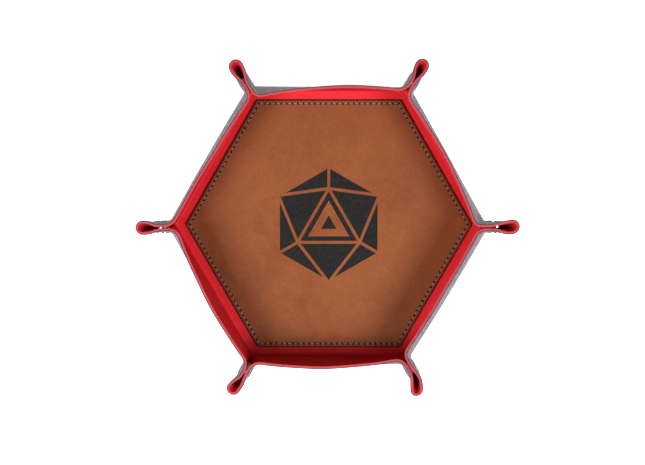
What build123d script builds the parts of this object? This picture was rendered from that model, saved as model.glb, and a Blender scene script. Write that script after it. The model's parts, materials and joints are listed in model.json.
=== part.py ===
from build123d import *

import os
from math import acos, atan, cos, degrees, radians, sin, sqrt, tan

# Folding hexagonal dice tray with six snapped corners.
#
# A stiff hexagonal floor is wrapped in a two-layer sheet: grey grained leather outside and
# red suede lining inside.  Six walls fold up from the floor.  At each corner the spare sheet
# is pinched into an upright ear that points outward, and one press stud holds the ear shut.
# Undone, the walls and the ears lie down flat as one large hexagon.
#
# Frame: origin at the centre of the underside, +Z up, +X through corner 1.
# Corner k points at 60*(k-1) degrees, and wall k faces 60*(k-1)+30 degrees.
# Corner k has flap a on wall k, with the socket half of the press stud, and flap b on
# wall k-1, with the stud half.

# ---- driving dimensions, mm and degrees -------------------------------------------------
SIDES = 6
LEATHER = 0.7  # thickness of the outer leather
LINING = 1.3  # thickness of the suede lining
BOARD = 2.0  # thickness of the floor board
PANEL = 1.3  # thickness of the tan play panel
FLAT_APOTHEM = 130.0  # half of the 260 mm across flats of the opened sheet
SHEET_CORNER_R = 8.0  # rounding of the opened sheet's six corners
HINGE_APOTHEM = 90.0  # where the walls fold, measured square to the wall
LEAN = 8.0  # how far the closed walls lean inward from upright

COVER_APOTHEM = 89.6  # leather under the floor
BOARD_APOTHEM = 86.0
FLOOR_LINING_APOTHEM = 88.6
FLOOR_CORNER_R = 4.0
PANEL_APOTHEM = 83.4
PANEL_CORNER_R = 1.6
PANEL_CHAMFER = 0.25

EMBLEM_R = 39.0  # corner radius of the engraved twenty-sided die
EMBLEM_LINE = 2.0  # width of the leather left standing between its facets
EMBLEM_FRAME = 3.0  # width of the engraved frame inside the front facet
EMBLEM_DEPTH = 0.25

STITCH_INSET = 2.6  # stitch line inside the panel's edge
STITCHES_PER_SIDE = 25
STITCH_LENGTH, STITCH_WIDTH, STITCH_HEIGHT = 2.5, 0.7, 0.3

FLAP_OFFSET = 2.45  # mid-surface of each closed flap from the corner's mid-plane
CREASE_DEPTH = 1.8  # flap hinge axis inside the sheet's mid-surface
CREASE_GAP = 1.85  # bare sheet left at each side of the flap hinge
WALL_START = 1.0  # bottom of the walls above the floor hinge
FLAP_START = 6.0  # bottom of the flaps, along the crease
TIP_GAP = 0.25  # each flap's edge short of the corner's mid-plane when opened

SNAP_ACROSS, SNAP_UP = 8.0, 25.0  # press stud centre from the corner, across and up the crease
CAP_R, CAP_EDGE, CAP_HEIGHT = 5.5, 0.45, 1.95
SHANK_R, SHANK_HOLE_R, SHANK_GRIP = 1.7, 1.8, 0.35
RECESS_DEPTH = 0.45  # blind hole in the stud that takes the end of the shank
SOCKET_R, SOCKET_MOUTH_R, SOCKET_HEIGHT = 4.6, 2.75, 2.1
FLANGE_R, FLANGE_HEIGHT = 4.6, 0.6
STUD_NECK_R, STUD_R, STUD_TIP_R, STUD_HEIGHT = 1.75, 1.95, 1.4, 2.1
METAL_EASE = 0.35  # small bevels on the press stud's edges

# ---- derived geometry -------------------------------------------------------------------
SHEET = LEATHER + LINING
HALF = SHEET / 2
GLUE_LINE = HALF - LEATHER  # between lining and leather, from the sheet's mid-surface
WALL_TOP = FLAT_APOTHEM - HINGE_APOTHEM
TAN_30 = tan(radians(30))
COS_30 = cos(radians(30))
lean = radians(LEAN)
crease_lean = atan(sin(lean) * TAN_30)  # each crease leans this far along its wall
gusset = radians(30) + crease_lean  # angle of one flap at the corner point
fold = acos(cos(lean) / 2)  # turn of a flap from opened flat to closed
corner_up = HALF * cos(lean) / (1 + sin(lean))  # corner point above the floor hinge
corner_along = (HINGE_APOTHEM + corner_up) * TAN_30  # corner point from the wall's middle
axis_across = -(FLAP_OFFSET - CREASE_DEPTH * (1 - cos(fold))) / sin(fold)
rim_up = WALL_TOP - corner_up  # rim above the corner point

os.makedirs("parts", exist_ok=True)


def polar(angle, radius=1.0):
    """Horizontal vector at an angle in degrees from +X."""
    return Vector(radius * cos(radians(angle)), radius * sin(radians(angle)), 0)


def finish(piece, name):
    """Labels a finished piece, writes its STEP file and prints its size."""
    piece.part.label = name
    export_step(piece.part, f"parts/{name}.step")
    print(f"{name}: {len(piece.part.solids())} solids, {piece.part.volume:.1f} mm3")


# ---- floor ------------------------------------------------------------------------------
def floor_layer(name, apothem, bottom, thickness):
    """Flat hexagon with rounded corners, one corner on +X."""
    with BuildPart() as layer:
        with BuildSketch(Plane.XY.offset(bottom)) as outline:
            RegularPolygon(apothem, SIDES, major_radius=False)
            fillet(outline.vertices(), FLOOR_CORNER_R)
        extrude(amount=thickness)
    finish(layer, name)


def front_facet():
    """Corners of the die's front facet, in golden proportion to its outline."""
    radius = EMBLEM_R * (sqrt(5) - 1) / 2
    return [polar(90 + 120 * i, radius) for i in range(3)]


def outer_facets():
    """Corners of the nine facets seen round the front facet of a twenty-sided die."""
    outline = [polar(30 + 60 * i, EMBLEM_R) for i in range(SIDES)]
    front = front_facet()
    facets = []
    for i, corner in enumerate(front):
        before, tip, after = outline[2 * i], outline[2 * i + 1], outline[(2 * i + 2) % SIDES]
        facets.append((corner, before, tip))
        facets.append((corner, tip, after))
        facets.append((corner, after, front[(i + 1) % 3]))
    return facets


def play_panel(bottom):
    """Tan leather panel with a twenty-sided die engraved in its middle."""
    surface = Plane.XY.offset(bottom + PANEL)
    with BuildPart() as panel:
        with BuildSketch(Plane.XY.offset(bottom)) as outline:
            RegularPolygon(PANEL_APOTHEM, SIDES, major_radius=False)
            fillet(outline.vertices(), PANEL_CORNER_R)
        extrude(amount=PANEL)
        chamfer(panel.faces().sort_by(Axis.Z)[-1].edges(), PANEL_CHAMFER)
        for corners in outer_facets():
            with BuildSketch(surface):
                with BuildLine():
                    Polyline(*corners, close=True)
                    offset(amount=-EMBLEM_LINE / 2, kind=Kind.INTERSECTION)
                make_face()
            extrude(amount=-EMBLEM_DEPTH, mode=Mode.SUBTRACT)
        frame_radius = front_facet()[0].length - EMBLEM_LINE
        with BuildSketch(surface):
            RegularPolygon(frame_radius, 3, rotation=90)
            RegularPolygon(frame_radius - 2 * EMBLEM_FRAME, 3, rotation=90, mode=Mode.SUBTRACT)
            RegularPolygon(2 * EMBLEM_FRAME, 3, rotation=90)
        extrude(amount=-EMBLEM_DEPTH, mode=Mode.SUBTRACT)
    finish(panel, "play_panel")


def panel_stitching(surface):
    """Thread showing on the panel, one stitch after another round its edge."""
    apothem = PANEL_APOTHEM - STITCH_INSET
    side = 2 * apothem * TAN_30
    pitch = side / STITCHES_PER_SIDE
    with BuildPart() as thread:
        with BuildSketch(Plane.XY.offset(surface)):
            with PolarLocations(apothem, SIDES, start_angle=30):
                with GridLocations(pitch, pitch, 1, STITCHES_PER_SIDE):
                    SlotOverall(STITCH_LENGTH, STITCH_WIDTH, rotation=90)
        extrude(amount=STITCH_HEIGHT)
    finish(thread, "panel_stitching")


# ---- walls and corner flaps -------------------------------------------------------------
class WallFrame:
    """Directions of one closed wall: along it, up it, and out through its leather face."""

    def __init__(self, number):
        facing = 60 * (number - 1) + 30
        level = polar(facing)
        rise = Vector(0, 0, 1)
        self.along = polar(facing + 90)
        self.out = level * cos(lean) + rise * sin(lean)
        self.up = rise * cos(lean) - level * sin(lean)
        self.hinge = level * HINGE_APOTHEM + rise * SHEET
        self.middle = self.hinge + self.out * HALF

    def plane(self, depth):
        """The wall's own plane, moved outward from the sheet's mid-surface."""
        return Plane(self.middle + self.out * depth, x_dir=self.along, z_dir=self.out)

    def crease(self, side):
        """Direction of the crease at one end of the wall, side +1 or -1."""
        return self.up * cos(crease_lean) - self.along * (side * sin(crease_lean))

    def across(self, side):
        """Direction in the wall, square to its crease and away from its middle."""
        return self.along * (side * cos(crease_lean)) + self.up * sin(crease_lean)

    def flap_axis(self, side):
        """A point on the flap's hinge axis, beside the corner point."""
        corner = self.middle + self.along * (side * corner_along) + self.up * corner_up
        return corner + self.across(side) * axis_across - self.out * CREASE_DEPTH

    def flap_plane(self, side, depth):
        """Plane of a closed flap: origin beside the corner point, Y up the crease."""
        outward = self.across(side) * cos(fold) + self.out * sin(fold)
        leather_side = self.out * cos(fold) - self.across(side) * sin(fold)
        origin = self.flap_axis(side) + leather_side * (CREASE_DEPTH + depth)
        return Plane(origin, x_dir=outward * side, z_dir=leather_side)

    def snap_plane(self, side):
        """Plane through the press stud's axis: origin on the lining, Y towards the leather."""
        face = self.flap_plane(side, -HALF)
        centre = face.from_local_coords((side * (SNAP_ACROSS - axis_across), SNAP_UP, 0))
        return Plane(centre, x_dir=face.y_dir, z_dir=face.y_dir.cross(face.z_dir))


def wall_layer(number, name, inner, outer):
    """One layer of a wall, from its fold to the rim and from crease to crease."""
    bare = (axis_across - CREASE_GAP) / cos(crease_lean)
    low = corner_along - (WALL_START - corner_up) * tan(crease_lean) + bare
    high = corner_along - (WALL_TOP - corner_up) * tan(crease_lean) + bare
    corners = [(-low, WALL_START), (low, WALL_START), (high, WALL_TOP), (-high, WALL_TOP)]
    with BuildPart() as layer:
        with BuildSketch(WallFrame(number).plane(inner)):
            with BuildLine():
                Polyline(*corners, close=True)
            make_face()
        extrude(amount=outer - inner)
    finish(layer, name)


def flap_corners(side):
    """Outline points of a flap in its plane, X from the hinge axis and Y up the crease."""
    reach = rim_up / COS_30
    rounding = SHEET_CORNER_R * TAN_30
    apex = reach - SHEET_CORNER_R * (1 / COS_30 - 1)
    shift = -axis_across - TIP_GAP / cos(gusset)
    tip = (apex * sin(gusset) + shift, apex * cos(gusset))
    low_tip = (FLAP_START * tan(gusset) + shift, FLAP_START)
    low_root = (CREASE_GAP, FLAP_START)
    root_across = CREASE_GAP + axis_across
    rim_root = (CREASE_GAP, (rim_up - root_across * sin(crease_lean)) / cos(crease_lean))
    rim_end = (
        reach * sin(gusset) - rounding * cos(crease_lean) - axis_across,
        reach * cos(gusset) + rounding * sin(crease_lean),
    )
    return [(side * x, y) for x, y in (tip, low_tip, low_root, rim_root, rim_end)]


def flap_layer(number, side, name, inner, outer):
    """One layer of a corner flap, with the hole for the press stud's shank."""
    points = flap_corners(side)
    rim_direction = (side * cos(crease_lean), -sin(crease_lean))
    with BuildPart() as layer:
        with BuildSketch(WallFrame(number).flap_plane(side, inner)):
            with BuildLine():
                Polyline(*points)
                TangentArc(points[-1], points[0], tangent=rim_direction)
            make_face()
            with Locations((side * (SNAP_ACROSS - axis_across), SNAP_UP)):
                Circle(SHANK_HOLE_R, mode=Mode.SUBTRACT)
        extrude(amount=outer - inner)
    finish(layer, name)


# ---- press studs ------------------------------------------------------------------------
def cap_profile():
    """Half section of the domed cap and its shank, radius across and leather side up."""
    top = SHEET + CAP_HEIGHT
    edge = SHEET + CAP_EDGE
    with BuildLine() as profile:
        Polyline(
            (0, top),
            (0, -SHANK_GRIP),
            (SHANK_R, -SHANK_GRIP),
            (SHANK_R, SHEET),
            (CAP_R - METAL_EASE / 2, SHEET),
            (CAP_R, SHEET + METAL_EASE / 2),
            (CAP_R, edge),
        )
        TangentArc((0, top), (CAP_R, edge), tangent=(1, 0))
    return profile.line


def socket_profile():
    """Half section of the spring socket: a plate on the lining and a grooved ring."""
    with BuildLine() as profile:
        Polyline(
            (SHANK_HOLE_R, 0),
            (SOCKET_R, 0),
            (SOCKET_R, METAL_EASE - SOCKET_HEIGHT),
            (SOCKET_R - METAL_EASE, -SOCKET_HEIGHT),
            (SOCKET_MOUTH_R + METAL_EASE, -SOCKET_HEIGHT),
            (SOCKET_MOUTH_R, METAL_EASE - SOCKET_HEIGHT),
            (SOCKET_MOUTH_R, -SHANK_GRIP),
            (SHANK_HOLE_R, -SHANK_GRIP),
            close=True,
        )
    return profile.line


def stud_profile():
    """Half section of the stud: a flange on the lining and a knob that the socket grips."""
    with BuildLine() as profile:
        Polyline(
            (0, -RECESS_DEPTH),
            (SHANK_HOLE_R, -RECESS_DEPTH),
            (SHANK_HOLE_R, 0),
            (FLANGE_R, 0),
            (FLANGE_R, METAL_EASE - FLANGE_HEIGHT),
            (FLANGE_R - METAL_EASE, -FLANGE_HEIGHT),
            (STUD_NECK_R, -FLANGE_HEIGHT),
            (STUD_R, METAL_EASE - STUD_HEIGHT),
            (STUD_TIP_R, -STUD_HEIGHT),
            (0, -STUD_HEIGHT),
            close=True,
        )
    return profile.line


def snap_half(number, side, name, inner_profile):
    """Cap with its shank on the leather, and its socket or stud on the lining."""
    plane = WallFrame(number).snap_plane(side)
    axis = Axis(plane.origin, plane.y_dir)
    with BuildPart() as half:
        for profile in (cap_profile(), inner_profile()):
            with BuildSketch(plane):
                add(profile)
                make_face()
            revolve(axis=axis)
    finish(half, name)


# ---- the whole tray ---------------------------------------------------------------------
floor_layer("underside_leather", COVER_APOTHEM, 0, LEATHER)
floor_layer("floor_board", BOARD_APOTHEM, LEATHER, BOARD)
floor_layer("floor_lining", FLOOR_LINING_APOTHEM, LEATHER + BOARD, LINING)
floor_top = LEATHER + BOARD + LINING
play_panel(floor_top)
panel_stitching(floor_top + PANEL)

for wall in range(1, SIDES + 1):
    wall_layer(wall, f"wall_{wall}_leather", GLUE_LINE, HALF)
    wall_layer(wall, f"wall_{wall}_lining", -HALF, GLUE_LINE)
    corner_after = wall % SIDES + 1
    for side, flap in ((-1, f"{wall}a"), (1, f"{corner_after}b")):
        flap_layer(wall, side, f"flap_{flap}_leather", GLUE_LINE, HALF)
        flap_layer(wall, side, f"flap_{flap}_lining", -HALF, GLUE_LINE)
    snap_half(wall, -1, f"snap_{wall}_socket", socket_profile)
    snap_half(wall, 1, f"snap_{corner_after}_stud", stud_profile)

axis_point = WallFrame(1).flap_axis(-1)
axis_direction = WallFrame(1).crease(-1)
print(f"walls open {90 + LEAN:.2f} degrees, flaps {degrees(fold):.3f} degrees")
print(f"flap 1a hinge passes {tuple(axis_point)} along {tuple(axis_direction)}")
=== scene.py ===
import json
import math
import random

import bpy
import numpy as np
from mathutils import Matrix, Vector


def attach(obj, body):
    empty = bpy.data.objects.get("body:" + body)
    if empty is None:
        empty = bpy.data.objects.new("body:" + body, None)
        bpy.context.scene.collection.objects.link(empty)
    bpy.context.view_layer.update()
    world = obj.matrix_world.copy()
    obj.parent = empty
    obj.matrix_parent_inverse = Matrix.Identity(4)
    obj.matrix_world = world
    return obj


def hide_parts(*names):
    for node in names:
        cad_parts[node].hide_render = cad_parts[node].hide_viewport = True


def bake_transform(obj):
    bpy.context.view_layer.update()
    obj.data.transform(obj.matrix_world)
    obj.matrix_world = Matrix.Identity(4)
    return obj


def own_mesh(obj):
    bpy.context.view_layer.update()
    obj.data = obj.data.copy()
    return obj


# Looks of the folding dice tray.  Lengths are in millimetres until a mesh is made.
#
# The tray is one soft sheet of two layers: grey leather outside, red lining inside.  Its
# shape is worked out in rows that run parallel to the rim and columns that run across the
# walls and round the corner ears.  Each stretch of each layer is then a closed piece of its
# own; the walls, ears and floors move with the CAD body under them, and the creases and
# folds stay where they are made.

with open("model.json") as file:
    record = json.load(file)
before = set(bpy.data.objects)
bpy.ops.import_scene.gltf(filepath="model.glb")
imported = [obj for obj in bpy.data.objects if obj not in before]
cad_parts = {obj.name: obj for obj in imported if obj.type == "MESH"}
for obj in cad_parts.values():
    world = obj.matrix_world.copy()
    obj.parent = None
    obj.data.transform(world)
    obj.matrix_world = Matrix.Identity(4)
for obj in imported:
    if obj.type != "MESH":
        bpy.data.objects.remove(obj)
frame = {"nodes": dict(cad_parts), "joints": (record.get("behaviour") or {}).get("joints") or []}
JOINTS = {joint["name"]: joint for joint in frame["joints"]}
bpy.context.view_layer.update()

MM = 0.001
UP = np.array([0.0, 0.0, 1.0])
SIDES = 6

# ---- the sheet as the CAD model has it --------------------------------------------------
LEATHER, LINING = 0.7, 1.3
HALF = (LEATHER + LINING) / 2  # from the sheet's middle to either face
GLUE = HALF - LEATHER  # from the sheet's middle out to the joint between the layers
HINGE_APOTHEM, HINGE_Z = 90.0, 2.0
WALL_TOP = 40.0  # from the fold up to the rim, along the sheet
SHEET_CORNER_R = 8.0  # rounding of the opened sheet's corners
FLAP_OFFSET = 2.45  # from a corner's mid-plane to the middle of a closed flap
FLOOR_LINING_BOTTOM, FLOOR_TOP, PANEL_TOP = 2.7, 4.0, 5.3
PANEL_APOTHEM, STITCH_INSET, STITCHES_PER_SIDE = 83.4, 2.6, 25

TAN_30 = math.tan(math.radians(30))
COS_30 = math.cos(math.radians(30))
LEAN = math.radians(8.0)  # how far the walls lean inward from upright
CREASE_LEAN = math.atan(math.sin(LEAN) * TAN_30)  # crease off square to the rim
GUSSET = math.radians(30) + CREASE_LEAN  # between a crease and the ear's fold
FOLD = math.acos(math.cos(LEAN) / 2)  # turn from a wall to the flap beside it
CORNER_UP = HALF * math.cos(LEAN) / (1 + math.sin(LEAN))
CORNER_ALONG = (HINGE_APOTHEM + CORNER_UP) * TAN_30

# ---- its soft shape ---------------------------------------------------------------------
FOLD_TOP = 3.9  # the walls are straight above this
FOLD_R = 3.9  # bend between floor and wall, at the sheet's middle
FOLD_CORNER_R = 0.9  # the same bend beside a corner
FOLD_EASE = 14.0  # the bend widens over this distance from a corner
LINING_FOLD_R = 1.6  # bend of the lining's red face
STRIP_FROM = -7.5  # crease strips begin this far before the crease, on the wall
RIM_ARM = 1.3  # half gap between the pinched arms at the rim, to the sheet's middle
LOOP_HALF = 3.65  # half width of the loop at the rim, to the sheet's middle
ARM_FULL_RISE = 21.0  # the arms reach their full spread this far above the corner
PINCH_FROM = 31.5  # the arms close in towards RIM_ARM above this height
LOOP_FROM = 30.5  # the loop widens above this height
# How far each wall stands out of its flat plane at its left end, middle and right end as
# seen from inside: RIM_STAND at the rim, and BELLY more than that half way up.
RIM_STAND = {
    1: (-2.6, 1.7, 0.0), 2: (2.8, 4.1, -1.1), 3: (-0.2, 2.2, 2.5),
    4: (0.6, 5.3, 4.5), 5: (2.6, 4.9, 0.6), 6: (-2.1, -0.7, -1.2),
}
BELLY = {
    1: (1.2, 1.1, 2.0), 2: (0.5, 0.4, 2.3), 3: (2.2, 2.2, 1.9),
    4: (2.3, 0.7, 0.5), 5: (0.5, 0.3, 2.3), 6: (1.6, 2.3, 2.4),
}
LOOP_REACH = {1: -0.6, 2: 0.5, 3: 0.0, 4: 1.0, 5: 2.3, 6: 0.4}  # longer or shorter loops
LOOP_WIDTH = {1: 0.1, 2: -0.1, 3: 0.15, 4: 0.0, 5: -0.1, 6: -0.15}  # wider or narrower loops
LOOP_SWAY = {1: 0.9, 2: 0.3, 3: -0.3, 4: 0.0, 5: -1.4, 6: -3.4}  # each loop's tip to its left

WALL_COLUMNS, LINE_COLUMNS, ARC_COLUMNS, LOOP_COLUMNS = 41, 5, 11, 34
WALL_ROWS, FOLD_ROWS = 25, 15


def smooth(t):
    """Smooth step from 0 to 1."""
    t = np.clip(t, 0.0, 1.0)
    return t * t * (3 - 2 * t)


def unit(vectors):
    """Vectors scaled to length 1."""
    return vectors / np.maximum(np.linalg.norm(vectors, axis=-1, keepdims=True), 1e-12)


class Wall:
    """Directions of one closed wall, taken from its CAD joint."""

    def __init__(self, number):
        joint = JOINTS[f"wall_{number}_fold"]
        self.number = number
        self.along = np.array(joint["axis"])
        self.hinge = np.array(joint["pos_m"]) / MM
        self.level = np.cross(self.along, UP)
        self.out = self.level * math.cos(LEAN) + UP * math.sin(LEAN)
        self.up = UP * math.cos(LEAN) - self.level * math.sin(LEAN)
        self.middle = self.hinge + self.out * HALF

    def corner_number(self, side):
        """The corner at one end of the wall."""
        return self.number if side < 0 else self.number % SIDES + 1

    def flap_name(self, side):
        """The CAD body of the flap at one end of the wall."""
        return f"flap_{self.corner_number(side)}{'a' if side < 0 else 'b'}"

    def corner_frame(self, side):
        """Corner point, and the crease, across, outward and leather-side directions."""
        across = self.along * side * math.cos(CREASE_LEAN) + self.up * math.sin(CREASE_LEAN)
        crease = self.up * math.cos(CREASE_LEAN) - self.along * side * math.sin(CREASE_LEAN)
        point = self.middle + self.along * side * CORNER_ALONG + self.up * CORNER_UP
        outward = across * math.cos(FOLD) + self.out * math.sin(FOLD)
        leather_side = self.out * math.cos(FOLD) - across * math.sin(FOLD)
        return point, crease, across, outward, leather_side

    def flat(self, along, height):
        """Where a point of the wall lies on the opened sheet, as UV coordinates in metres."""
        spot = (HINGE_APOTHEM + height)[..., None] * self.level + along[..., None] * self.along
        return spot[..., :2] * MM


def three_point(values, share):
    """Curve through an end, the middle and the other end, for share from -1 to 1."""
    low, middle, high = values
    return low * share * (share - 1) / 2 + middle * (1 - share**2) + high * share * (share + 1) / 2


def rise_share(height):
    """0 where a wall leaves its fold and 1 at its rim."""
    return np.maximum(0.0, (height - FOLD_TOP) / (WALL_TOP - FOLD_TOP))


def wall_stand(wall, share, height):
    """How far a wall stands out of its flat plane."""
    eta = rise_share(height)
    belly = three_point(BELLY[wall.number], share) * (4 * eta * (1 - eta)) ** 1.4
    ripple = 0.2 * np.sin(5.3 * share + 1.7 * wall.number) * (1 - share**2) ** 2
    return (three_point(RIM_STAND[wall.number], share) + ripple) * eta**1.5 + belly


# ---- the corner ears --------------------------------------------------------------------
def pinch(height, corner):
    """Sizes of an ear's section at one height up the wall.

    These are the half gap between its arms, the loop's half width, the length of the bend
    between wall and arm, the reach of the tip, and the share of the arms that is parallel.
    """
    rise = height - CORNER_UP
    eta = rise_share(height)
    start = min(1.0, rise / ARM_FULL_RISE)
    arm = FLAP_OFFSET * start * (2 - start)
    arm -= (FLAP_OFFSET - RIM_ARM) * smooth((height - PINCH_FROM) / (WALL_TOP - PINCH_FROM))
    growth = smooth((height - LOOP_FROM) / (WALL_TOP - LOOP_FROM))
    half = arm + (LOOP_HALF + LOOP_WIDTH[corner] - RIM_ARM) * growth
    bend = 0.15 + 5.4 * eta**0.8
    drop = 1.07 * eta**3
    tip = (rise - drop) * math.sin(GUSSET) / COS_30
    tip -= 1.67 * smooth(rise / 13)
    tip += LOOP_REACH[corner] * eta**2
    parallel = 0.42 - 0.27 * growth
    return arm, half, bend, tip, parallel


QUARTER_ROUND = 0.5523  # handle length that makes a cubic curve a quarter of a circle


def bezier(a, b, c, d):
    """Points along one cubic curve."""
    t = np.linspace(0, 1, 24)[:, None]
    ends = (1 - t) ** 3 * np.array(a) + t**3 * np.array(d)
    return ends + 3 * (1 - t) ** 2 * t * np.array(b) + 3 * (1 - t) * t**2 * np.array(c)


def evenly(line, count):
    """Points spaced evenly along a line of many points."""
    steps = np.r_[0, np.cumsum(np.linalg.norm(np.diff(line, axis=0), axis=1))]
    at = np.linspace(0, steps[-1], count)
    return np.column_stack([np.interp(at, steps, line[:, i]) for i in (0, 1)])


def half_loop(bend_end, arm, half, tip, parallel):
    """Half outline of arm and loop, from the end of the bend to the tip."""
    widest = max(tip - 1.05 * half, bend_end + 0.1)
    arm_end = bend_end + parallel * (widest - bend_end)
    lead = 0.5 * (widest - arm_end)
    swell = bezier((arm_end, arm), (arm_end + lead, arm), (widest - lead, half), (widest, half))
    along, aside = QUARTER_ROUND * (tip - widest), QUARTER_ROUND * half
    close = bezier((widest, half), (widest + along, half), (tip, aside), (tip, 0))
    return np.vstack([[(bend_end, arm)], swell, close[1:]])


def ear_section(wall, side, height):
    """Half section of wall end, bend, arm and loop: outward and sideways from the corner."""
    arm, half, bend, tip, parallel = pinch(height, wall.corner_number(side))
    stand = wall_stand(wall, side, height)
    slope = (stand - wall_stand(wall, side * 0.999, height)) * 1000 / wall_end(height)
    wall_way = np.array([math.cos(FOLD), -math.sin(FOLD)])
    out_way = np.array([math.sin(FOLD), math.cos(FOLD)])
    start = STRIP_FROM * wall_way + stand * out_way
    turn = FOLD - math.atan(slope)
    way = np.array([math.cos(turn), -math.sin(turn)])
    reach = (start[1] - arm) / math.sin(turn)
    bend = min(bend, reach - 0.5)
    line = start + np.outer(np.linspace(0, reach - bend, LINE_COLUMNS), way)
    radius = bend / math.tan(turn / 2)
    bend_end = start[0] + reach * way[0] + bend
    centre = np.array([bend_end, arm + radius])
    angles = np.linspace(-math.pi / 2 - turn, -math.pi / 2, ARC_COLUMNS)
    arc = centre + radius * np.column_stack([np.cos(angles), np.sin(angles)])
    loop = half_loop(bend_end, arm, half, tip, parallel)
    return np.vstack([line[:-1], arc, evenly(loop, LOOP_COLUMNS)[1:]])


def rim_drop(section_share):
    """How far the rounded corner of the opened sheet dips below its straight rim."""
    full = (WALL_TOP - CORNER_UP) * math.sin(GUSSET) / COS_30
    run = np.clip(section_share * full - (full - 0.5 * SHEET_CORNER_R), 0, SHEET_CORNER_R)
    return SHEET_CORNER_R - np.sqrt(SHEET_CORNER_R**2 - run**2)


def ear_grid(wall, side, heights):
    """Middle of the sheet round one half of an ear, with its flat coordinates."""
    point, crease, across, outward, leather_side = wall.corner_frame(side)
    corner = wall.corner_number(side)
    places, flats = [], []
    for height in heights:
        section = ear_section(wall, side, height)
        steps = np.r_[0, np.cumsum(np.linalg.norm(np.diff(section, axis=0), axis=1))]
        diagonal = (height - CORNER_UP) * math.sin(GUSSET) / COS_30
        x = STRIP_FROM + steps / steps[-1] * (diagonal - STRIP_FROM)
        eta = rise_share(height)
        level = height - rim_drop(np.clip(x / diagonal, 0, 1)) * eta**3
        t = (level - CORNER_UP - x * math.sin(CREASE_LEAN)) / math.cos(CREASE_LEAN)
        sway = -side * LOOP_SWAY[corner] * eta**2 * smooth((section[:, 0] - 9) / 14) ** 1.5
        sideways = section[:, 1] + sway
        place = point + np.outer(t, crease) + np.outer(section[:, 0], outward)
        places.append(place + np.outer(sideways, leather_side))
        along = CORNER_ALONG + x * math.cos(CREASE_LEAN) - t * math.sin(CREASE_LEAN)
        flats.append(wall.flat(side * along, level))
    return np.array(places), np.array(flats)


# ---- the walls --------------------------------------------------------------------------
def wall_end(height):
    """Distance along the wall to where its crease strips begin."""
    t = (height - CORNER_UP - STRIP_FROM * math.sin(CREASE_LEAN)) / math.cos(CREASE_LEAN)
    return CORNER_ALONG + STRIP_FROM * math.cos(CREASE_LEAN) - t * math.sin(CREASE_LEAN)


def wall_grid(wall, heights):
    """Middle of the sheet over one wall, with its flat coordinates."""
    share = np.linspace(-1, 1, WALL_COLUMNS)[None, :]
    height = np.array(heights)[:, None] + 0 * share
    along = share * wall_end(height)
    place = wall.middle + along[..., None] * wall.along + height[..., None] * wall.up
    place = place + wall_stand(wall, share, height)[..., None] * wall.out
    return place, wall.flat(along, height)


# ---- making closed pieces ---------------------------------------------------------------
# Rows past the face that carry it over the rim: depth from the sheet's middle, rise along
# the sheet, and turn of the normal from 0, the face's, to 1, along the sheet.
RIM_ROWS = {
    "leather": ((0.96, -0.08, 0.4), (0.86, 0.0, 1.0)),
    "lining": ((-0.94, -0.16, 0.3), (-0.78, 0.0, 0.7), (-0.5, 0.07, 1.0)),
}
FACE_SHORT = {"leather": 0.25, "lining": 0.4}  # how far below the rim the face itself ends


def over_the_rim(layer, place, normal, inner):
    """Front and back grids of a layer whose last row is at the rim, with their normals."""
    side = 1 if layer == "leather" else -1
    depth = np.full(inner.shape, HALF) if side > 0 else inner
    upward = unit(place[-1] - place[-2])
    front = place + side * normal * depth[..., None]
    back = place + normal * GLUE
    shade = side * normal
    front[-1] -= upward * FACE_SHORT[layer]
    rows, shades = [front], [shade]
    for row_depth, rise, turn in RIM_ROWS[layer]:
        scaled = abs(row_depth) * depth[-1][:, None]
        rows.append([place[-1] + side * normal[-1] * scaled + upward * rise])
        shades.append([unit(shade[-1] * (1 - turn) + upward * turn)])
    back_shade = np.zeros(back.shape)
    back_shade[-1] = upward
    return np.vstack(rows), np.vstack(shades), back, back_shade


def shell_faces(at, rows, low):
    """Faces of a closed piece, each with its material slot and whether it keeps its normals.

    at holds the point numbers of the front's rows and then the back's, low is the back's
    last row, and the front's rows past it are the rim.
    """
    front, back = at[:rows], at[rows:]
    top, last = rows - 1, at.shape[1] - 1
    has_rim = top > low
    faces, slots, lit = [], [], []

    def put(corners, slot=0, is_lit=False):
        faces.append([int(corner) for corner in corners])
        slots.append(slot)
        lit.append(is_lit)

    for j in range(last):
        for i in range(top):
            face = (front[i, j], front[i, j + 1], front[i + 1, j + 1], front[i + 1, j])
            put(face, 0 if i < low else 1, True)
        for i in range(low):
            put((back[i, j], back[i + 1, j], back[i + 1, j + 1], back[i, j + 1]))
        put((front[0, j + 1], front[0, j], back[0, j], back[0, j + 1]))
        rim_face = (front[top, j], front[top, j + 1], back[low, j + 1], back[low, j])
        put(rim_face, 1 if has_rim else 0, has_rim)
    for i in range(low):
        put((front[i, 0], front[i + 1, 0], back[i + 1, 0], back[i, 0]))
        put((front[i + 1, last], front[i, last], back[i, last], back[i + 1, last]))
    if has_rim:
        put((*front[low:, 0], back[low, 0]))
        put((*front[low:, last][::-1], back[low, last]))
    return faces, slots, lit


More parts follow.
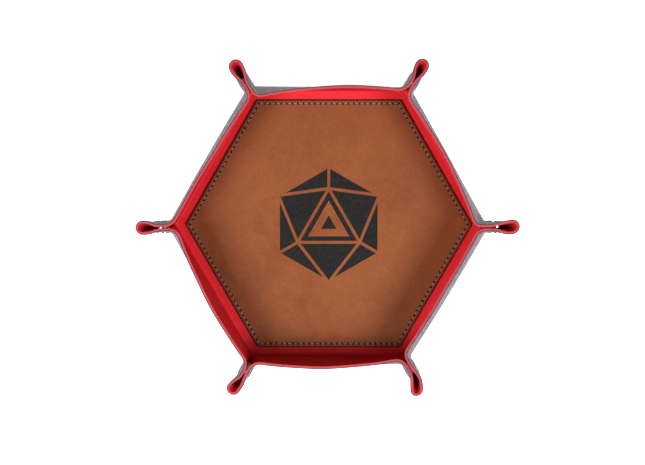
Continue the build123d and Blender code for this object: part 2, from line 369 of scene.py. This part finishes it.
def shell(name, grids, uv, materials):
    """Closed piece between a front and a back grid; front's rows past back's are its rim."""
    front, shade, back, back_shade = grids
    rows, columns = front.shape[:2]
    low = back.shape[0] - 1
    at = np.arange((rows + low + 1) * columns).reshape(-1, columns)
    faces, slots, lit = shell_faces(at, rows, low)
    turns = np.cross(front[:-1, 1:] - front[:-1, :-1], front[1:, :-1] - front[:-1, :-1])
    if np.sum(turns * shade[:-1, :-1]) < 0:
        faces = [face[::-1] for face in faces]
    points = np.vstack([front.reshape(-1, 3), back.reshape(-1, 3)]) * MM
    mesh = bpy.data.meshes.new(name)
    mesh.from_pydata(points.tolist(), [], faces)
    mesh.polygons.foreach_set("material_index", slots)
    mesh.polygons.foreach_set("use_smooth", [True] * len(faces))
    corners = np.concatenate(faces)
    flat = np.vstack([uv, np.repeat(uv[-1:], rows - 1 - low, axis=0), uv]).reshape(-1, 2)
    mesh.uv_layers.new(name="flat").data.foreach_set("uv", flat[corners].ravel())
    shades = np.vstack([shade.reshape(-1, 3), back_shade.reshape(-1, 3)])[corners]
    shades[~np.repeat(lit, [len(face) for face in faces])] = 0
    mesh.normals_split_custom_set(shades.tolist())
    piece = bpy.data.objects.new(name, mesh)
    bpy.context.collection.objects.link(piece)
    for material in materials:
        mesh.materials.append(material)
    return piece


# ---- materials --------------------------------------------------------------------------
class Nodes:
    """Small helper that adds and joins shader nodes of one material."""

    def __init__(self, name):
        self.material = bpy.data.materials.new(name)
        self.material.use_nodes = True
        self.tree = self.material.node_tree
        self.shader = self.tree.nodes["Principled BSDF"]

    def add(self, kind, **settings):
        node = self.tree.nodes.new(f"ShaderNode{kind}")
        for key, value in settings.items():
            setattr(node, key, value)
        return node

    def join(self, source, target):
        self.tree.links.new(source, target)

    def coordinates(self, by_uv):
        """Places on the opened sheet (by_uv) or in the piece itself, both in metres."""
        return self.add("TexCoord").outputs["UV" if by_uv else "Object"]

    def noise(self, where, scale, detail=3.0, roughness=0.55):
        node = self.add("TexNoise")
        node.inputs["Scale"].default_value = scale
        node.inputs["Detail"].default_value = detail
        node.inputs["Roughness"].default_value = roughness
        self.join(where, node.inputs["Vector"])
        return node.outputs["Fac"]

    def cells(self, where, scale, feature="F1"):
        node = self.add("TexVoronoi", feature=feature)
        node.inputs["Scale"].default_value = scale
        self.join(where, node.inputs["Vector"])
        return node.outputs["Distance"]

    def math(self, operation, first, second=0.0, third=0.0):
        node = self.add("Math", operation=operation)
        for socket, value in zip(node.inputs, (first, second, third)):
            if isinstance(value, (int, float)):
                socket.default_value = value
            else:
                self.join(value, socket)
        return node.outputs[0]

    def spread(self, value, from_low, from_high, to_low, to_high, smoothly=False):
        node = self.add("MapRange")
        if smoothly:
            node.interpolation_type = "SMOOTHSTEP"
        for socket, number in zip(node.inputs[1:5], (from_low, from_high, to_low, to_high)):
            socket.default_value = number
        self.join(value, node.inputs["Value"])
        return node.outputs["Result"]

    def mix(self, share, first, second):
        node = self.add("Mix", data_type="RGBA")
        for socket, value in zip((node.inputs[0], node.inputs[6], node.inputs[7]),
                                 (share, first, second)):
            if isinstance(value, (int, float)):
                socket.default_value = value
            elif isinstance(value, tuple):
                socket.default_value = (*value, 1.0)
            else:
                self.join(value, socket)
        return node.outputs[2]

    def bump(self, height, strength, distance, under=None):
        node = self.add("Bump")
        node.inputs["Strength"].default_value = strength
        node.inputs["Distance"].default_value = distance
        self.join(height, node.inputs["Height"])
        if under is not None:
            self.join(under, node.inputs["Normal"])
        return node.outputs["Normal"]

    def finish(self, colour, roughness, normal=None, **fixed):
        self.join(colour, self.shader.inputs["Base Color"])
        self.join(roughness, self.shader.inputs["Roughness"])
        if normal is not None:
            self.join(normal, self.shader.inputs["Normal"])
        for socket, value in fixed.items():
            self.shader.inputs[socket.replace("_", " ")].default_value = value
        return self.material


# strength of the shade painted along the lining's ear creases
PAINTED_CREASE_SHADE = 0.72
LEATHER_ROUGHNESS = 0.55


def hexagon_distance(n, where):
    """Distance from the middle of the hexagon, measured square to its sides, and the height."""
    split = n.add("SeparateXYZ")
    n.join(where, split.inputs[0])
    x, y = split.outputs[0], split.outputs[1]
    slanted_x = n.math("MULTIPLY", n.math("ABSOLUTE", x), COS_30)
    slanted = n.math("MULTIPLY_ADD", n.math("ABSOLUTE", y), 0.5, slanted_x)
    return n.math("MAXIMUM", slanted, n.math("ABSOLUTE", y)), split.outputs[2]


def ear_crease_shade(n, where):
    """How strongly painted shade darkens the lining along the crease that runs up each ear to its tip."""
    split = n.add("SeparateXYZ")
    n.join(where, split.inputs[0])
    across, up = n.math("ABSOLUTE", split.outputs[0]), n.math("ABSOLUTE", split.outputs[1])
    slanted = n.math("SUBTRACT", n.math("MULTIPLY", across, COS_30), n.math("MULTIPLY", up, 0.5))
    off = n.math("MINIMUM", up, n.math("ABSOLUTE", slanted))
    reach, _ = hexagon_distance(n, where)
    near = n.spread(off, 0.003, 0.0075, PAINTED_CREASE_SHADE, 0.0, True)
    begun = n.spread(reach, 0.092, 0.102, 0.0, 1.0, True)
    short_of_rim = n.spread(reach, 0.1235, 0.1285, 1.0, 0.15, True)
    return n.math("MULTIPLY", near, n.math("MULTIPLY", begun, short_of_rim))


def grained_leather(name, base, light, dark, grain, depth, specular, crease=None):
    """Coated leather with pebbles, grain of them to a metre, that stand up by depth.

    Its colour is uneven, lighter on high spots and darker between them.  crease is the
    colour of the shade painted along the folds of the ears, where any is wanted.
    """
    n = Nodes(name)
    flat = n.coordinates(by_uv=True)
    wander = n.add("TexNoise")
    wander.inputs["Scale"].default_value = grain * 0.7
    n.join(flat, wander.inputs["Vector"])
    shift = n.add("VectorMath", operation="MULTIPLY_ADD")
    shift.inputs[1].default_value = (0.9 / grain,) * 3
    n.join(wander.outputs["Color"], shift.inputs[0])
    n.join(flat, shift.inputs[2])
    where = shift.outputs["Vector"]
    pebbles = n.cells(where, grain, feature="SMOOTH_F1")
    small = n.cells(where, grain * 2.3, feature="SMOOTH_F1")
    pores = n.noise(where, grain * 3.1, 4.0, 0.7)
    cloud = n.noise(where, 26.0, 5.0, 0.6)
    fine = n.noise(where, 310.0, 3.0, 0.6)
    colour = n.mix(n.spread(cloud, 0.34, 0.68, 0.3, 0.85), dark, light)
    colour = n.mix(0.55, colour, base)
    colour = n.mix(n.spread(fine, 0.35, 0.7, 0.0, 0.3), colour, light)
    colour = n.mix(n.spread(pebbles, 0.3, 0.62, 0.0, 0.45), colour, dark)
    colour = n.mix(n.spread(pebbles, 0.28, 0.1, 0.0, 0.5), colour, light)
    # painted shade: the lining is darkened along the ear creases, where the loops lie in shadow
    if crease is not None:
        colour = n.mix(ear_crease_shade(n, flat), colour, crease)
    height = n.math("MULTIPLY_ADD", small, -0.4, n.math("MULTIPLY", pebbles, -1.0))
    height = n.math("MULTIPLY_ADD", pores, 0.25, height)
    normal = n.bump(height, 0.6, depth)
    roughness = n.math("MULTIPLY_ADD", n.spread(pores, 0.3, 0.7, -1.0, 1.0), 0.06,
                       n.spread(cloud, 0.3, 0.7, LEATHER_ROUGHNESS - 0.04, LEATHER_ROUGHNESS + 0.05))
    return n.finish(colour, roughness, normal, Specular_IOR_Level=specular)


def cut_edge(name, base, light, dark):
    """Raw cut edge of a sheet: fibres in short streaks and flecks."""
    n = Nodes(name)
    where = n.coordinates(by_uv=True)
    streaks = n.noise(where, 900.0, 4.0, 0.7)
    blotches = n.noise(where, 120.0, 3.0, 0.5)
    colour = n.mix(n.spread(streaks, 0.35, 0.7, 0.0, 1.0), dark, light)
    colour = n.mix(n.spread(blotches, 0.35, 0.65, 0.35, 0.75), colour, base)
    normal = n.bump(streaks, 0.5, 0.00012)
    return n.finish(colour, n.spread(streaks, 0.3, 0.7, 0.62, 0.85), normal,
                    Specular_IOR_Level=0.3, Sheen_Weight=0.15)


TAN, TAN_DEEP, TAN_LIGHT = (0.245, 0.068, 0.019), (0.165, 0.043, 0.011), (0.285, 0.083, 0.023)
TAN_FIBRE, TAN_PORE, TAN_SHADED = (0.145, 0.036, 0.011), (0.11, 0.027, 0.009), (0.145, 0.035, 0.011)
# the edge colour is a painted shadow along the panel's edge; the groove colour is painted shade in the
# seam groove
TAN_EDGE_SHADOW, TAN_GROOVE_SHADE = (0.032, 0.005, 0.004), (0.13, 0.035, 0.016)
SOOT, SOOT_LIGHT = (0.004, 0.0035, 0.0035), (0.014, 0.011, 0.010)
EMBLEM_REACH = 0.041  # nothing is engraved farther than this from the middle


def engraved_cuts(n, where, level):
    """1 on the sunk floors of the engraving, and 0 on the panel's face and outside."""
    split = n.add("SeparateXYZ")
    n.join(where, split.inputs[0])
    spot = n.add("CombineXYZ")
    n.join(split.outputs[0], spot.inputs[0])
    n.join(split.outputs[1], spot.inputs[1])
    length = n.add("VectorMath", operation="LENGTH")
    n.join(spot.outputs[0], length.inputs[0])
    inside = n.math("LESS_THAN", length.outputs["Value"], EMBLEM_REACH)
    sunk = n.spread(level, (PANEL_TOP - 0.12) * MM, (PANEL_TOP - 0.02) * MM, 1.0, 0.0)
    return n.math("MULTIPLY", inside, sunk)


def panel_leather():
    """Smooth tan leather of the play panel, with painted shade at its edges and seam groove, and burnt
    cuts.
    """
    n = Nodes("tan_panel")
    where = n.coordinates(by_uv=False)
    reach, level = hexagon_distance(n, where)
    cloud = n.noise(where, 17.0, 6.0, 0.62)
    mottle = n.noise(where, 95.0, 5.0, 0.65)
    grain = n.cells(where, 1150.0)
    pores = n.noise(where, 2600.0, 3.0, 0.6)
    fibres = n.noise(where, 420.0, 4.0, 0.7)
    colour = n.mix(n.spread(cloud, 0.33, 0.66, 0.0, 1.0), TAN_DEEP, TAN)
    colour = n.mix(n.spread(mottle, 0.35, 0.68, 0.0, 0.6), colour, TAN_LIGHT)
    colour = n.mix(n.spread(fibres, 0.42, 0.75, 0.0, 0.3), colour, TAN_FIBRE)
    colour = n.mix(n.spread(grain, 0.45, 0.95, 0.0, 0.25), colour, TAN_PORE)
    shaded = n.spread(n.math("MULTIPLY_ADD", cloud, 0.02, reach), 0.05, 0.095, 0.0, 0.34, True)
    colour = n.mix(shaded, colour, TAN_SHADED)
    # painted shadow: a dark line along the panel's edge, for the shadow in the gap between panel and
    # lining
    colour = n.mix(n.spread(reach, 0.0820, 0.0829, 0.0, 0.93, True), colour, TAN_EDGE_SHADOW)
    seam = (PANEL_APOTHEM - STITCH_INSET) * MM
    off_seam = n.math("ABSOLUTE", n.math("SUBTRACT", reach, seam))
    groove = n.spread(off_seam, 0.0002, 0.0008, 1.0, 0.0, True)
    # painted shade: the seam groove is darkened in colour as well as sunk by the bump below
    colour = n.mix(n.math("MULTIPLY", groove, 0.25), colour, TAN_GROOVE_SHADE)
    soot = n.mix(n.spread(fibres, 0.4, 0.7, 0.0, 1.0), SOOT, SOOT_LIGHT)
    colour = n.mix(engraved_cuts(n, where, level), colour, soot)
    height = n.math("MULTIPLY_ADD", pores, 0.5, n.math("MULTIPLY", grain, -0.5))
    normal = n.bump(height, 0.35, 0.00012)
    normal = n.bump(groove, 0.8, -0.00035, normal)
    normal = n.bump(mottle, 0.25, 0.0003, normal)
    roughness = n.spread(mottle, 0.3, 0.7, 0.5, 0.62)
    return n.finish(colour, roughness, normal, Specular_IOR_Level=0.16)


def thread_material():
    """Twisted sewing thread."""
    n = Nodes("thread")
    where = n.coordinates(by_uv=False)
    twist = n.noise(where, 1700.0, 2.0, 0.5)
    tone = n.noise(where, 60.0, 3.0, 0.6)
    colour = n.mix(n.spread(twist, 0.35, 0.65, 0.0, 1.0), (0.13, 0.075, 0.052), (0.38, 0.25, 0.18))
    colour = n.mix(n.spread(tone, 0.3, 0.7, 0.1, 0.6), colour, (0.20, 0.11, 0.07))
    return n.finish(colour, n.spread(twist, 0.3, 0.7, 0.5, 0.75), n.bump(twist, 0.7, 0.0001),
                    Specular_IOR_Level=0.4, Sheen_Weight=0.2)


def hole_material():
    """Near black disc of painted shade, standing for the shadow inside a needle hole."""
    n = Nodes("needle_hole")
    where = n.coordinates(by_uv=False)
    rough_edge = n.noise(where, 2500.0, 3.0, 0.6)
    colour = n.mix(n.spread(rough_edge, 0.3, 0.7, 0.0, 1.0), (0.006, 0.004, 0.004), (0.022, 0.010, 0.008))
    return n.finish(colour, n.spread(rough_edge, 0.3, 0.7, 0.7, 0.9), n.bump(rough_edge, 0.5, 0.0001),
                    Specular_IOR_Level=0.15)


def nickel_material():
    """Polished nickel with fine scuffs."""
    n = Nodes("nickel")
    where = n.coordinates(by_uv=False)
    scuffs = n.noise(where, 900.0, 4.0, 0.7)
    haze = n.noise(where, 150.0, 3.0, 0.5)
    colour = n.mix(n.spread(haze, 0.3, 0.7, 0.0, 1.0), (0.42, 0.42, 0.43), (0.62, 0.62, 0.61))
    return n.finish(colour, n.spread(scuffs, 0.35, 0.75, 0.1, 0.24), n.bump(scuffs, 0.06, 0.00005),
                    Metallic=1.0)


def board_material():
    """Grey board inside the floor."""
    n = Nodes("board")
    where = n.coordinates(by_uv=False)
    pulp = n.noise(where, 700.0, 5.0, 0.7)
    specks = n.noise(where, 90.0, 4.0, 0.6)
    colour = n.mix(n.spread(pulp, 0.3, 0.7, 0.0, 1.0), (0.22, 0.21, 0.19), (0.36, 0.34, 0.31))
    colour = n.mix(n.spread(specks, 0.35, 0.7, 0.0, 0.5), colour, (0.28, 0.26, 0.23))
    return n.finish(colour, n.spread(pulp, 0.3, 0.7, 0.8, 0.95), n.bump(pulp, 0.4, 0.0002),
                    Specular_IOR_Level=0.2)


GREY = grained_leather(
    "grey_leather", base=(0.145, 0.108, 0.138), light=(0.36, 0.285, 0.335),
    dark=(0.035, 0.026, 0.036), grain=620.0, depth=0.0006, specular=0.10,
)
RED = grained_leather(
    "red_lining", base=(0.66, 0.014, 0.021), light=(0.73, 0.019, 0.028),
    dark=(0.45, 0.007, 0.012), grain=1300.0, depth=0.00018, specular=0.18,
    # colour of the shade painted along the ear creases
    crease=(0.055, 0.003, 0.006),
)
GREY_EDGE = cut_edge(
    "grey_cut_edge", base=(0.055, 0.040, 0.050), light=(0.10, 0.075, 0.085),
    dark=(0.025, 0.018, 0.022),
)
RED_EDGE = cut_edge(
    "red_cut_edge", base=(0.46, 0.038, 0.055), light=(0.58, 0.085, 0.105),
    dark=(0.33, 0.016, 0.026),
)
MATERIALS = {"leather": (GREY, GREY_EDGE), "lining": (RED, RED_EDGE)}


# ---- walls and ears ---------------------------------------------------------------------
def wall_sheet(wall):
    """One wall with its two half ears, as grids of rows along the rim.

    They hold the sheet's middle points, its normals, its places on the opened sheet, and the
    lining's depth, which is less where the arms of an ear press together.
    """
    heights = np.linspace(FOLD_TOP, WALL_TOP, WALL_ROWS)
    ends = {side: ear_grid(wall, side, heights) for side in (-1, 1)}
    face, face_flat = wall_grid(wall, heights)
    place = np.hstack([ends[-1][0][:, :0:-1], face, ends[1][0][:, 1:]])
    flat = np.hstack([ends[-1][1][:, :0:-1], face_flat, ends[1][1][:, 1:]])
    normal = unit(np.cross(np.gradient(place, axis=1), np.gradient(place, axis=0)))
    if np.dot(normal[-1, place.shape[1] // 2], wall.out) < 0:
        normal = -normal
    for column, side in ((0, -1), (-1, 1)):  # the two halves of a loop meet square at its tip
        leather_side = wall.corner_frame(side)[4]
        sideways = (normal[:, column] @ leather_side)[:, None]
        normal[:, column] = unit(normal[:, column] - sideways * leather_side)
    arms = np.array([pinch(height, 1)[0] for height in heights])  # the same at every corner
    closed = np.minimum(1.0, 0.9 * arms + 0.05)[:, None]
    count = ends[1][0].shape[1] - 1
    ease = smooth(np.arange(1, count + 1) / (LINE_COLUMNS + ARC_COLUMNS - 2))
    ease = np.concatenate([ease[::-1], np.zeros(WALL_COLUMNS), ease])
    return place, normal, flat, 1 + (closed - 1) * ease


TURN_FROM, TURN_TO = -5.8, -1.2  # where the turn from a flat wall to its flap begins and ends


def crease_ends(wall, side):
    point, _, _, outward, leather_side = wall.corner_frame(side)
    way = outward * math.sin(FOLD) - leather_side * math.cos(FOLD)
    stands = [wall_stand(wall, side, height) for height in np.linspace(FOLD_TOP, WALL_TOP, 9)]
    first = TURN_FROM + 0.51 * max(0.0, *stands)  # a wall that stands out begins its turn later
    last = TURN_TO + 0.35 * min(0.0, *stands)
    return tuple((point + first * way) * MM), tuple((point + last * way) * MM)


def join_wall(piece, wall, layer):
    """Move a wall's piece with its CAD body."""
    body = f"wall_{wall.number}"
    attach(piece, body)
    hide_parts(f"{body}_{layer}")


def join_crease(piece, wall, side):
    """Bake a crease's piece in place between wall and flap; it is not bent."""
    start, end = crease_ends(wall, side)
    wall.flap_name(side)
    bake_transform(piece)


def join_ear(piece, wall, side, layer):
    """Move an ear's piece with its flap, on a mesh of its own."""
    point, _, _, _, leather_side = wall.corner_frame(side)
    flap = wall.flap_name(side)
    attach(piece, flap)
    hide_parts(f"{flap}_{layer}")
    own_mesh(piece)


def build_wall(wall):
    """The pieces of one wall above its fold, by layer, each list with the wall's own first."""
    place, normal, flat, inner = wall_sheet(wall)
    bend, ear = LINE_COLUMNS + ARC_COLUMNS - 2, LOOP_COLUMNS - 1
    cuts = np.cumsum([0, ear, bend, WALL_COLUMNS - 1, bend, ear])
    made = {}
    for layer in ("leather", "lining"):
        pieces = []
        for part, (first, last) in enumerate(zip(cuts[:-1], cuts[1:])):
            here = slice(first, last + 1)
            side = -1 if part < 2 else 1
            kind = ("ear", "crease", "wall", "crease", "ear")[part]
            place_name = str(wall.number) if kind == "wall" else wall.flap_name(side)[5:]
            grids = over_the_rim(layer, place[:, here], normal[:, here], inner[:, here])
            piece = shell(f"{kind}_{place_name}_{layer}_skin", grids, flat[:, here], MATERIALS[layer])
            if kind == "wall":
                join_wall(piece, wall, layer)
                pieces.insert(0, piece)
                continue
            if kind == "crease":
                join_crease(piece, wall, side)
            else:
                join_ear(piece, wall, side, layer)
            pieces.append(piece)
        made[layer] = pieces
    return made


def fold_profile(radius, edge, edge_z, end):
    """Points and outward normals, as (level, z), of a bend from the floor to a wall's end."""
    turn = math.pi / 2 + LEAN
    tangent = radius * math.tan(turn / 2)
    wall_way = np.array([math.cos(turn), math.sin(turn)])
    rise = (end[1] - edge_z) / wall_way[1]
    knee = end[0] - rise * wall_way[0]
    base = knee - tangent - edge
    lengths = np.cumsum([0, base, radius * turn, rise - tangent])
    at = np.linspace(0, lengths[-1], FOLD_ROWS)
    angle = np.clip((at - lengths[1]) / radius, 0, turn)
    normals = np.column_stack([np.sin(angle), -np.cos(angle)])
    points = np.array([edge + base, edge_z + radius]) + radius * normals
    points[:, 0] -= np.maximum(0, lengths[1] - at)
    points += np.maximum(0, at - lengths[2])[:, None] * wall_way
    return points, normals


def fold_edge(radius, height, offset):
    """How far out the flat floor reaches before a bend of this radius begins."""
    knee = HINGE_APOTHEM + offset / math.cos(LEAN) + (HINGE_Z - height) * math.tan(LEAN)
    return knee - radius * math.tan(math.pi / 4 + LEAN / 2)


LEATHER_EDGE = fold_edge(FOLD_R, HALF, HALF)
LINING_EDGE = fold_edge(LINING_FOLD_R, FLOOR_TOP, 0.0)


def fold_section(wall, layer, share):
    """Points and normals of one layer's bend, and its faces with their side of the normals."""
    end = np.array([np.dot(wall.middle, wall.level), wall.middle[2]])
    end = end + FOLD_TOP * np.array([-math.sin(LEAN), math.cos(LEAN)])
    if layer == "leather":
        from_corner = (1 - abs(share)) * CORNER_ALONG
        radius = FOLD_CORNER_R + (FOLD_R - FOLD_CORNER_R) * smooth(from_corner / FOLD_EASE)
        points, normals = fold_profile(radius, LEATHER_EDGE, HALF, end)
        return points, normals, points + normals * HALF, points + normals * GLUE, 1
    end = end - np.array([math.cos(LEAN), math.sin(LEAN)]) * HALF
    points, normals = fold_profile(LINING_FOLD_R, LINING_EDGE, FLOOR_TOP, end)
    return points, normals, points, points + normals * LINING, -1


def build_fold(wall, layer):
    """The strip of one layer that bends between the floor and a wall."""
    shares = np.linspace(-1, 1, WALL_COLUMNS + 16)
    shares = np.sign(shares) * (1 - (1 - np.abs(shares)) ** 1.25)  # closer near the corners
    front, shade, back, flat = [], [], [], []
    for share in shares:
        points, normals, outer, inner, sign = fold_section(wall, layer, share)
        outward = wall.level + share * TAN_30 * wall.along
        front.append(outer[:, :1] * outward + outer[:, 1:] * UP)
        back.append(inner[:, :1] * outward + inner[:, 1:] * UP)
        shade.append(sign * (normals[:, :1] * wall.level + normals[:, 1:] * UP))
        run = np.r_[0, np.cumsum(np.linalg.norm(np.diff(points, axis=0), axis=1))]
        level = (HINGE_APOTHEM + FOLD_TOP - run[-1] + run)[:, None]
        flat.append((level * outward)[:, :2] * MM)
    grids = [np.swapaxes(np.array(grid), 0, 1) for grid in (front, shade, back)]
    grids.append(np.zeros(grids[2].shape))
    uv = np.swapaxes(np.array(flat), 0, 1)
    piece = shell(f"fold_{wall.number}_{layer}_skin", grids, uv, MATERIALS[layer])
    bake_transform(piece)
    return piece


# ---- floor ------------------------------------------------------------------------------
# Length of each layer's bend past the flat floor, measured on the opened sheet.
BEND_LENGTH = {"leather": 9.54 - 0.59 * FOLD_R, "lining": 2.8}


def plate_faces(rings, count):
    """Faces of a closed plate: a disc of rings round a point, below, and its twin above."""
    above = 1 + rings * count
    faces = []
    for j in range(count):
        k = (j + 1) % count
        faces.append((0, 1 + k, 1 + j))
        faces.append((above, above + 1 + j, above + 1 + k))
        for ring in range(rings - 1):
            a, b = 1 + ring * count, 1 + (ring + 1) * count
            faces.append((a + j, a + k, b + k, b + j))
            faces.append((above + a + k, above + a + j, above + b + j, above + b + k))
        outer = 1 + (rings - 1) * count
        faces.append((outer + j, outer + k, above + outer + k, above + outer + j))
    return faces


def build_floor(layer):
    """Flat hexagon of one layer between the folds."""
    edge, low, high = {
        "leather": (LEATHER_EDGE, 0.0, LEATHER),
        "lining": (LINING_EDGE, FLOOR_LINING_BOTTOM, FLOOR_TOP),
    }[layer]
    rings, per_side = 8, 12
    rim = [
        (wall.level + share * TAN_30 * wall.along) * edge
        for wall in WALLS
        for share in np.linspace(-1, 1, per_side, endpoint=False)
    ]
    count = len(rim)
    grow = np.linspace(0, 1, rings + 1)[1:, None, None]
    disc = np.vstack([np.zeros((1, 3)), (grow * np.array(rim)).reshape(-1, 3)])
    points = np.vstack([disc + low * UP, disc + high * UP])
    faces = plate_faces(rings, count)
    mesh = bpy.data.meshes.new(f"floor_{layer}_skin")
    mesh.from_pydata((points * MM).tolist(), [], faces)
    scale = (HINGE_APOTHEM + FOLD_TOP) / (edge + BEND_LENGTH[layer]) * MM
    corners = np.concatenate(faces)
    uv = mesh.uv_layers.new(name="flat")
    uv.data.foreach_set("uv", (points[:, :2] * scale)[corners].ravel())
    piece = bpy.data.objects.new(mesh.name, mesh)
    bpy.context.collection.objects.link(piece)
    mesh.materials.append(MATERIALS[layer][0])
    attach(piece, "base")
    return piece


# ---- stitching --------------------------------------------------------------------------
THREAD_SIDES, HOLE_SIDES = 8, 10
HOLE_RINGS = ((1.0, 0.0), (0.86, 0.035), (0.5, 0.015))  # share of the radius, and height


def tube(points, radius):
    """Points and faces of a closed tube along a line that is nowhere upright."""
    steps = unit(np.gradient(points, axis=0))
    level = unit(np.cross(steps, UP))
    above = np.cross(level, steps)
    turn = np.linspace(0, 2 * math.pi, THREAD_SIDES, endpoint=False)[None, :, None]
    rings = points[:, None] + radius * (np.cos(turn) * level[:, None] + np.sin(turn) * above[:, None])
    return rings.reshape(-1, 3), ring_faces(len(points), THREAD_SIDES)


def ring_faces(rings, sides):
    """Faces of a row of rings, closed at both ends."""
    at = np.arange(rings * sides).reshape(-1, sides)
    faces = [
        (at[i, j], at[i, (j + 1) % sides], at[i + 1, (j + 1) % sides], at[i + 1, j])
        for i in range(rings - 1)
        for j in range(sides)
    ]
    return faces + [tuple(at[0][::-1]), tuple(at[-1])]


def join_parts(name, parts, material):
    """One smooth mesh object from several lists of points and faces."""
    points, faces, count = [], [], 0
    for part_points, part_faces in parts:
        points.append(part_points)
        faces += [[int(corner) + count for corner in face] for face in part_faces]
        count += len(part_points)
    mesh = bpy.data.meshes.new(name)
    mesh.from_pydata((np.vstack(points) * MM).tolist(), [], faces)
    mesh.polygons.foreach_set("use_smooth", [True] * len(faces))
    mesh.materials.append(material)
    piece = bpy.data.objects.new(name, mesh)
    bpy.context.collection.objects.link(piece)
    return piece


def needle_hole(centre, radius):
    """Low dished disc of painted shade for a needle hole, on the panel's face."""
    turn = np.linspace(0, 2 * math.pi, HOLE_SIDES, endpoint=False)
    circle = np.column_stack([np.cos(turn), np.sin(turn), 0 * turn])
    rings = [circle * radius * share + height * UP for share, height in HOLE_RINGS]
    points = np.vstack([centre + ring for ring in rings])
    return points, ring_faces(len(HOLE_RINGS), HOLE_SIDES)


def stitch_spots(wall, draw):
    """Centres of the needle holes along one side of the panel, from corner to corner."""
    reach = PANEL_APOTHEM - STITCH_INSET
    centre = wall.level * reach + PANEL_TOP * UP
    spots = []
    for i in range(STITCHES_PER_SIDE + 1):
        off = reach * TAN_30 * (2 * i / STITCHES_PER_SIDE - 1)
        if 0 < i < STITCHES_PER_SIDE:
            off += draw.uniform(-0.1, 0.1)
        spots.append(centre + wall.along * off)
    return spots


def stitch_line(wall, spot, following, draw):
    """The line of one stitch, which rises out of one hole and dips into the next."""
    share = np.linspace(0.19, 0.81, 11)[:, None]
    arch = np.sin(np.pi * share) ** 0.6
    lift = -0.42 + (0.57 + draw.uniform(-0.05, 0.06)) * arch
    slant = draw.uniform(-0.12, 0.12) * (share - 0.5) * 2
    return spot + (following - spot) * share + lift * UP + slant * wall.level


def build_stitching():
    """Thread that dips into a needle hole between every two stitches, and discs of painted shade at the
    holes.
    """
    draw = random.Random(11)
    threads, holes = [], []
    for wall in WALLS:
        spots = stitch_spots(wall, draw)
        for spot, following in zip(spots[:-1], spots[1:]):
            holes.append(needle_hole(spot, draw.uniform(0.80, 0.90)))
            line = stitch_line(wall, spot, following, draw)
            threads.append(tube(line, draw.uniform(0.29, 0.34)))
    thread = join_parts("panel_thread", threads, THREAD)
    # the needle holes are near black discs of painted shade, laid on the panel's face
    needle_holes = join_parts("panel_needle_holes", holes, HOLE_SHADE)
    for piece in (thread, needle_holes):
        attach(piece, "base")
    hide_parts("panel_stitching")


# ---- studio -----------------------------------------------------------------------------
CAMERA_AT = (0.0, 0.045, 0.777)
CAMERA_AIM = (-0.0042, -0.0058, 0.0)
CAMERA_LENS = 64.2
WORLD_LIGHT = 0.13
FLOOR_SIZE, FLOOR_SHADE, FLOOR_GLOW = 60, 0.80, 0.92  # the glow keeps its shadows white
AREA_LIGHTS = (  # name, place, size and power
    ("right", (0.70, -0.32, 1.05), 0.50, 15.2),
    ("left", (-0.70, -0.32, 1.05), 0.50, 15.8),
)


def add_area_light(name, place, size, power):
    """Soft square light that faces the tray."""
    data = bpy.data.lights.new(name, "AREA")
    data.shape = "SQUARE"
    data.size = size
    data.energy = power
    light = bpy.data.objects.new(name, data)
    light.location = place
    light.rotation_euler = (-Vector(place)).to_track_quat("-Z", "Y").to_euler()
    bpy.context.collection.objects.link(light)


def build_backdrop():
    """Pale floor and even light from all round."""
    bpy.ops.mesh.primitive_plane_add(size=FLOOR_SIZE, location=(0, 0, -0.0004))
    floor = bpy.context.object
    floor.name = "studio_floor"
    n = Nodes("studio_floor")
    n.shader.inputs["Base Color"].default_value = (FLOOR_SHADE, FLOOR_SHADE, FLOOR_SHADE, 1)
    n.shader.inputs["Roughness"].default_value = 0.9
    n.shader.inputs["Specular IOR Level"].default_value = 0.1
    n.shader.inputs["Emission Color"].default_value = (1, 1, 1, 1)
    n.shader.inputs["Emission Strength"].default_value = FLOOR_GLOW
    floor.data.materials.append(n.material)
    world = bpy.data.worlds.new("studio")
    world.use_nodes = True
    world.node_tree.nodes["Background"].inputs["Color"].default_value = (1, 1, 1, 1)
    world.node_tree.nodes["Background"].inputs["Strength"].default_value = WORLD_LIGHT
    bpy.context.scene.world = world


def build_camera():
    """Camera at the photo's viewing angle, with the picture's up side along +Y."""
    data = bpy.data.cameras.new("camera")
    data.lens = CAMERA_LENS
    data.sensor_width = 36
    data.clip_start = 0.01
    camera = bpy.data.objects.new("camera", data)
    camera.location = CAMERA_AT
    back = (Vector(CAMERA_AT) - Vector(CAMERA_AIM)).normalized()
    right = Vector((0, 1, 0)).cross(back).normalized()
    turn = Matrix((right, back.cross(right), back)).transposed()
    camera.rotation_euler = turn.to_euler()
    bpy.context.collection.objects.link(camera)
    bpy.context.scene.camera = camera


def build_studio():
    """Backdrop, lights and camera."""
    build_backdrop()
    for light in AREA_LIGHTS:
        add_area_light(*light)
    bpy.context.scene.view_settings.view_transform = "Standard"
    bpy.context.scene.view_settings.look = "None"
    build_camera()


# ---- put it together --------------------------------------------------------------------
THREAD, HOLE_SHADE = thread_material(), hole_material()
WALLS = [Wall(number) for number in range(1, SIDES + 1)]
floors = {layer: build_floor(layer) for layer in ("leather", "lining")}
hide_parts("underside_leather")
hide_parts("floor_lining")
for wall in WALLS:
    for layer, pieces in build_wall(wall).items():
        pieces.append(build_fold(wall, layer))
build_stitching()

NODE_LOOKS = {"play_panel": panel_leather(), "floor_board": board_material()}
NICKEL = nickel_material()
for node_name, node in frame["nodes"].items():
    look = NICKEL if node_name.startswith("snap_") else NODE_LOOKS.get(node_name)
    if look is None:
        continue
    for material_slot in node.material_slots:
        material_slot.link = "DATA"
        material_slot.material = look
build_studio()
